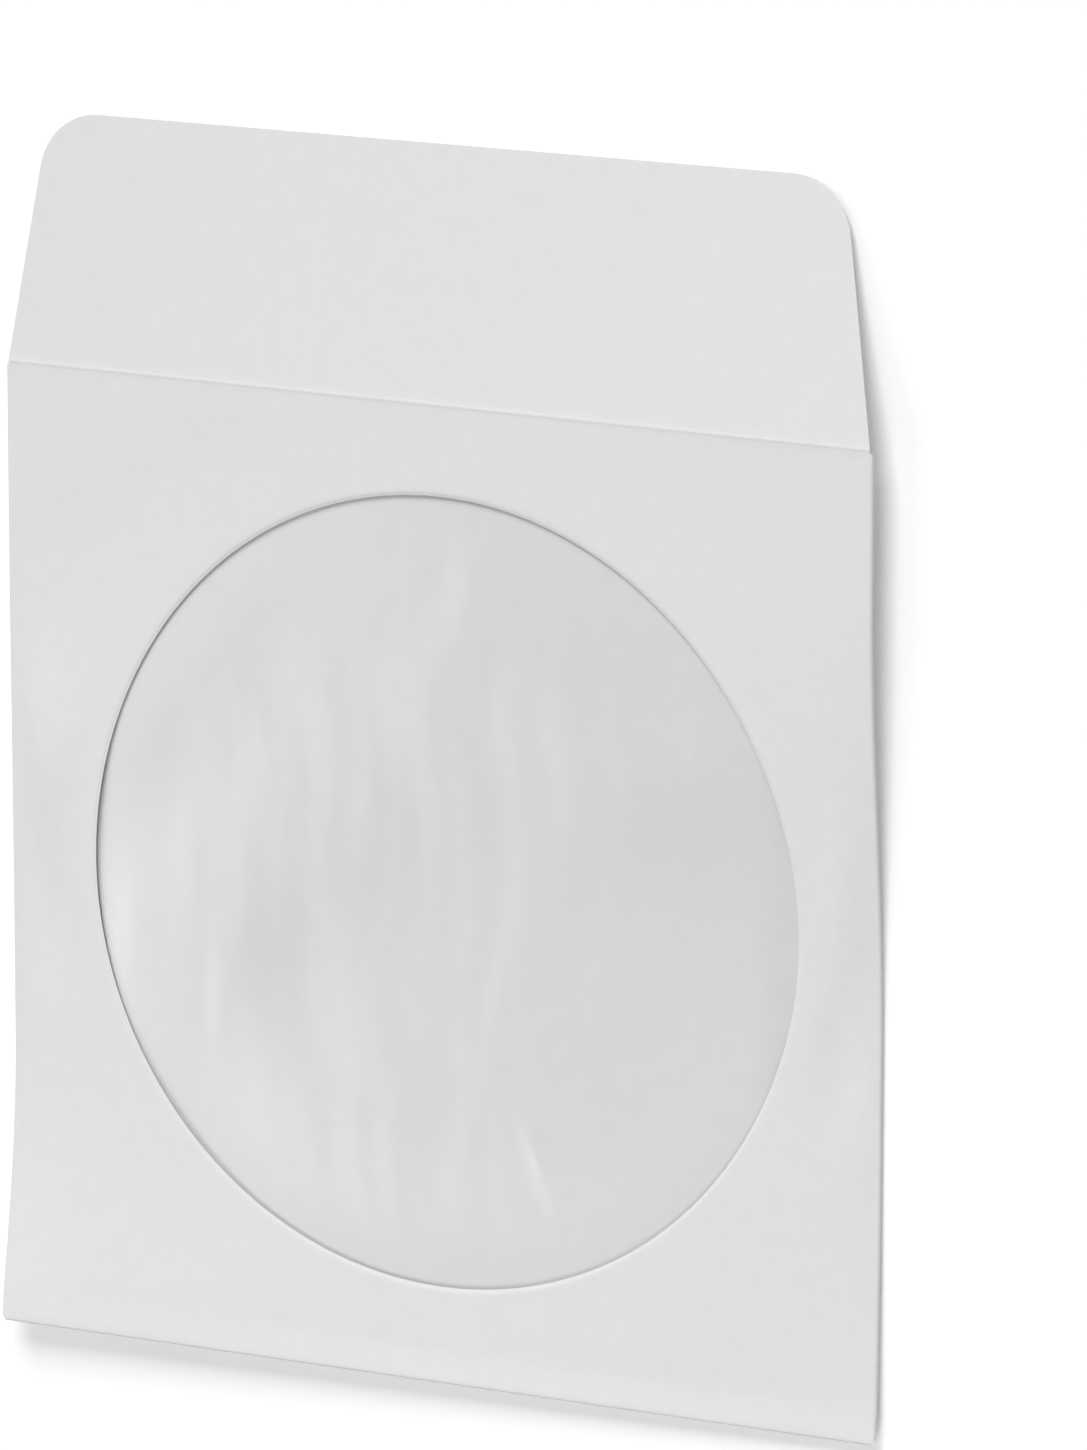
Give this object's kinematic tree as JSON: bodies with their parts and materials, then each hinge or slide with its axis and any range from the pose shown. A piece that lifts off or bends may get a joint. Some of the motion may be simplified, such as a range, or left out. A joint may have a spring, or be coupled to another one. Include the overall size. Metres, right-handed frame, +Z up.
{
  "type": "cd sleeve",
  "caption": "Empty white paper disc sleeve with a round film window in the front panel and an open closing flap with rounded corners.",
  "frame": {"origin": "middle of the sleeve's footprint on the table it lies on", "axes": "+X across the sleeve, +Y from the bottom fold towards the flap, +Z up out of the window"},
  "size_m": [0.125, 0.157, 0.0048],
  "materials": {
    "paper": "uncoated matt white wood-free paper",
    "film": "clear glossy polypropylene film, slightly slack"
  },
  "bodies": {
    "root": {"paper_sleeve": "paper", "window_film": "film"}
  },
  "joints": []
}
